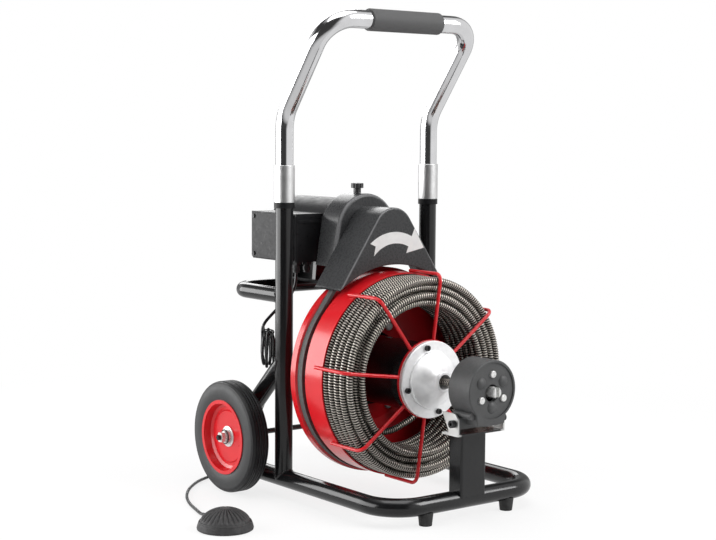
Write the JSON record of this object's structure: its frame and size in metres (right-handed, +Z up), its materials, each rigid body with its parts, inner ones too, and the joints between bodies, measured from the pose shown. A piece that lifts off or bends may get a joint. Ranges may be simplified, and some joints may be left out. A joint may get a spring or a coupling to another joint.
{
  "type": "drain cleaning machine",
  "caption": "Upright wheeled drain cleaner: a motor and belt turn an open drum of coiled spring cable that feeds out through a guide head; tube frame, lift-off handle, foot pedal.",
  "frame": {"origin": "on the floor, midway across the wheels and midway between cable tip and motor end", "axes": "+Z up; -Y towards the feed head, where the cable leaves; X along the wheel axle, pedal on -X"},
  "size_m": [0.6765, 0.604, 0.8725],
  "materials": {
    "black_frame": "satin powder coat",
    "zinc_steel": "zinc plated",
    "tyre_rubber": "matte ribbed rubber",
    "red_paint": "gloss red paint",
    "black_rubber": "matte",
    "bearing_steel": "ground",
    "motor_paint": "satin black",
    "black_plastic": "fine grain",
    "cast_aluminium": "machined",
    "belt_rubber": "matte",
    "black_steel": "black oxide",
    "cable_steel": "oiled spring wire",
    "head_iron": "dark textured coat",
    "guard_plastic": "fine grain",
    "gloss_black": "gloss",
    "chrome": "polished",
    "grip_foam": "matte foam",
    "hose_black": "semi gloss"
  },
  "bodies": {
    "frame": {"base_tube": "black_frame", "left_upright": "black_frame", "right_upright": "black_frame", "rear_bumper": "black_frame", "axle_gussets": "black_frame", "bearing_beam": "black_frame", "motor_plate": "black_frame", "feed_post": "black_frame", "axle": "black_frame", "axle_nuts": "zinc_steel", "front_feet": "black_rubber", "drum_bearings": "bearing_steel", "motor_body": "motor_paint", "motor_shield": "motor_paint", "fan_cover": "black_plastic", "v_belt": "belt_rubber", "head_housing": "head_iron", "head_back_plate": "head_iron", "head_face_screws": "zinc_steel", "saddle_bracket": "zinc_steel", "head_clamp_bolts": "black_steel", "belt_guard": "guard_plastic", "motor_shroud": "guard_plastic", "knob_stud": "zinc_steel", "control_box": "black_plastic", "box_cover": "black_plastic", "box_cover_screws": "black_steel", "box_glands": "black_plastic", "stop_rings": "black_plastic", "pedal_base": "black_plastic", "hose_runs": "hose_black", "hose_hank": "hose_black"},
    "handle": {"handle_tube": "chrome", "handle_sleeves": "chrome", "handle_grip": "grip_foam"},
    "drum": {"drum_shell": "red_paint", "drum_hub": "zinc_steel", "shaft_collar": "zinc_steel", "drum_bolts": "zinc_steel", "drum_core": "black_plastic", "drum_cage": "red_paint", "cone_hub": "cast_aluminium", "cone_screws": "black_steel", "drain_cable": "cable_steel", "cable_lead": "cable_steel", "cable_tip": "zinc_steel"},
    "motor_rotor": {"motor_shaft": "bearing_steel", "motor_pulley": "cast_aluminium"},
    "left_wheel": {"left_tyre": "tyre_rubber", "left_rim": "red_paint", "left_wheel_hub": "zinc_steel"},
    "right_wheel": {"right_tyre": "tyre_rubber", "right_rim": "red_paint", "right_wheel_hub": "zinc_steel"},
    "knob": {"guard_knob": "black_plastic"},
    "pedal": {"pedal_dome": "black_rubber"},
    "switch": {"switch_rocker": "gloss_black"},
    "roller_top": {"top_roller": "bearing_steel"},
    "roller_left": {"left_roller": "bearing_steel"},
    "roller_right": {"right_roller": "bearing_steel"}
  },
  "joints": [
    {"name": "left_wheel_spin", "type": "hinge", "parent": "frame", "child": "left_wheel", "pos_m": [-0.222, 0.174, 0.102], "axis": [1, 0, 0], "continuous": true},
    {"name": "right_wheel_spin", "type": "hinge", "parent": "frame", "child": "right_wheel", "pos_m": [0.222, 0.174, 0.102], "axis": [1, 0, 0], "continuous": true},
    {"name": "drum_spin", "type": "hinge", "parent": "frame", "child": "drum", "pos_m": [0, 0.083, 0.2263], "axis": [0, 1, 0], "continuous": true},
    {"name": "motor_spin", "type": "hinge", "parent": "frame", "child": "motor_rotor", "pos_m": [0, 0.083, 0.48], "axis": [0, 1, 0], "continuous": true},
    {"name": "handle_lift", "type": "slide", "parent": "frame", "child": "handle", "axis": [0, 0, 1], "range_m": [0, 0.032]},
    {"name": "knob_turn", "type": "hinge", "parent": "frame", "child": "knob", "pos_m": [0, 0.0875, 0.555], "axis": [0, 0, 1], "continuous": true},
    {"name": "pedal_press", "type": "slide", "parent": "frame", "child": "pedal", "axis": [0, 0, -1], "range_m": [0, 0.008], "stiffness_N_per_m": 1500, "springref_m": -0.004},
    {"name": "switch_rock", "type": "hinge", "parent": "frame", "child": "switch", "pos_m": [-0.088, 0.261, 0.4645], "axis": [1, 0, 0], "range_deg": [-8, 8]},
    {"name": "top_roller_spin", "type": "hinge", "parent": "frame", "child": "roller_top", "pos_m": [0, -0.25, 0.2563], "axis": [0, 1, 0], "continuous": true},
    {"name": "left_roller_spin", "type": "hinge", "parent": "frame", "child": "roller_left", "pos_m": [-0.02451, -0.25, 0.21385], "axis": [0, 1, 0], "continuous": true},
    {"name": "right_roller_spin", "type": "hinge", "parent": "frame", "child": "roller_right", "pos_m": [0.02451, -0.25, 0.21385], "axis": [0, 1, 0], "continuous": true}
  ],
  "couplings": [
    {"joint": "motor_spin", "follows": "drum_spin", "ratio": 6.2069}
  ]
}
